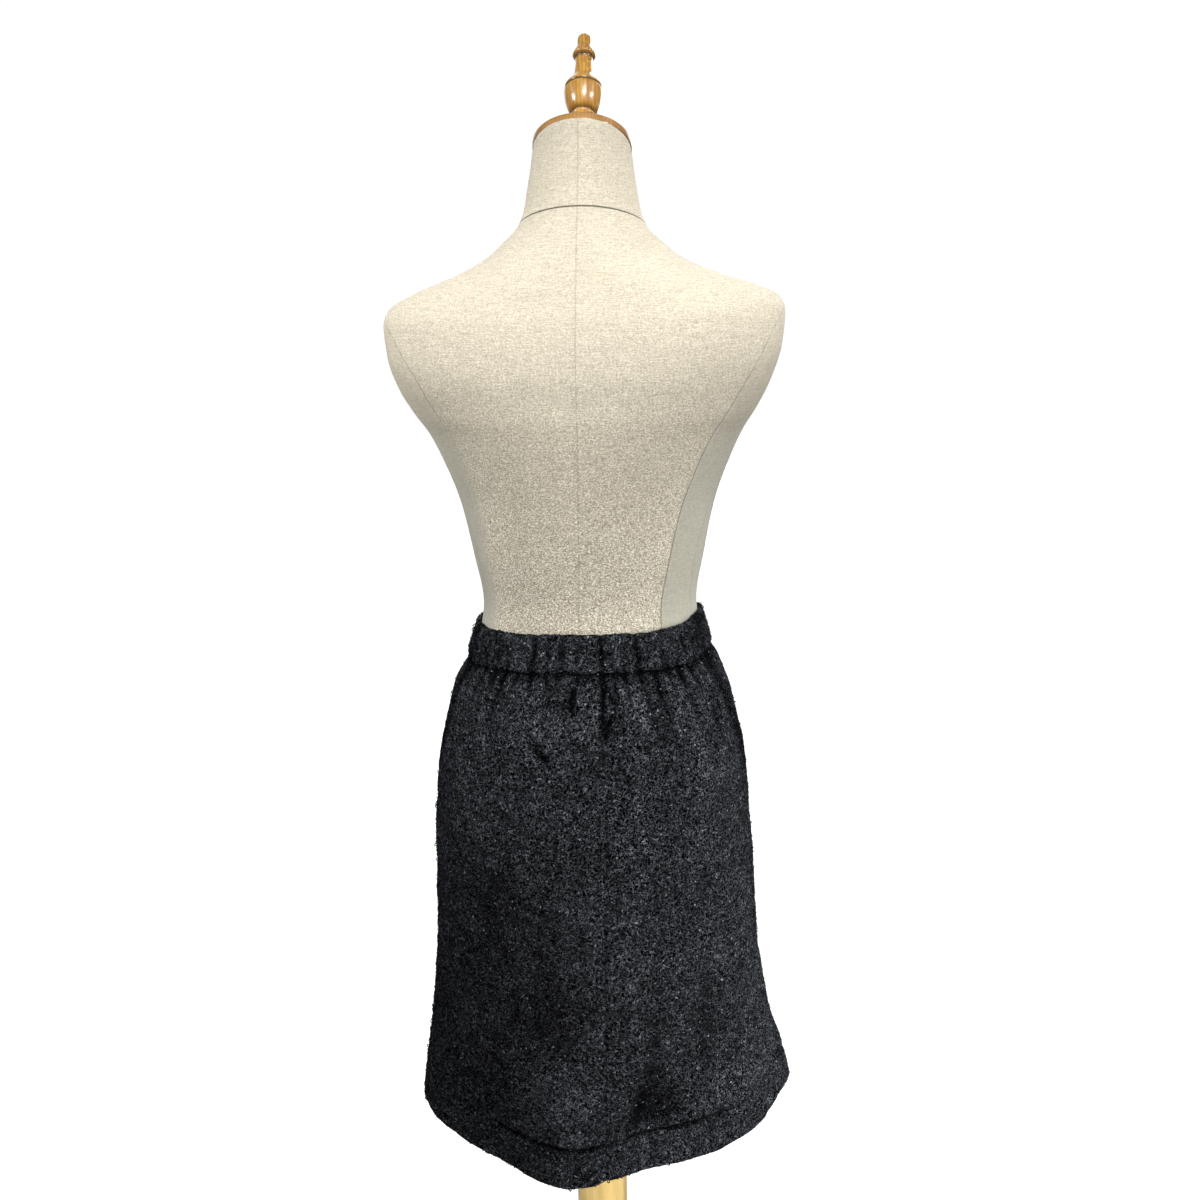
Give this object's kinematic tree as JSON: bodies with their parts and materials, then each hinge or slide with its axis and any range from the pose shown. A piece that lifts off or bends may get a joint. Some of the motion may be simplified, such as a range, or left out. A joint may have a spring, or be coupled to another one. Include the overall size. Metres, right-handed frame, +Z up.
{
  "type": "pencil skirt on dress form",
  "caption": "Straight knee-length pencil skirt in boucle cloth with an elastic back waist and a turned-up hem, on a limbless dress form with a wooden stand.",
  "frame": {"origin": "middle of the underside of the stand's round base, on the pole's axis", "axes": "+Z up along the pole; the form and the skirt's front face -Y and their back faces +Y; +X is the wearer's left side"},
  "size_m": [0.4034, 0.37, 1.598],
  "materials": {
    "black_boucle": "matt looped wool boucle, near-black charcoal",
    "linen": "plain woven natural linen, matt",
    "varnished_wood": "light wood under gloss varnish",
    "pale_wood": "light wood, satin"
  },
  "bodies": {
    "root": {"front_panel": "black_boucle", "back_panel_left": "black_boucle", "back_panel_right": "black_boucle", "waistband_front": "black_boucle", "waistband_back": "black_boucle", "form_body": "linen", "neck_cap": "varnished_wood", "finial": "varnished_wood", "pole": "pale_wood", "base": "pale_wood"}
  },
  "joints": []
}
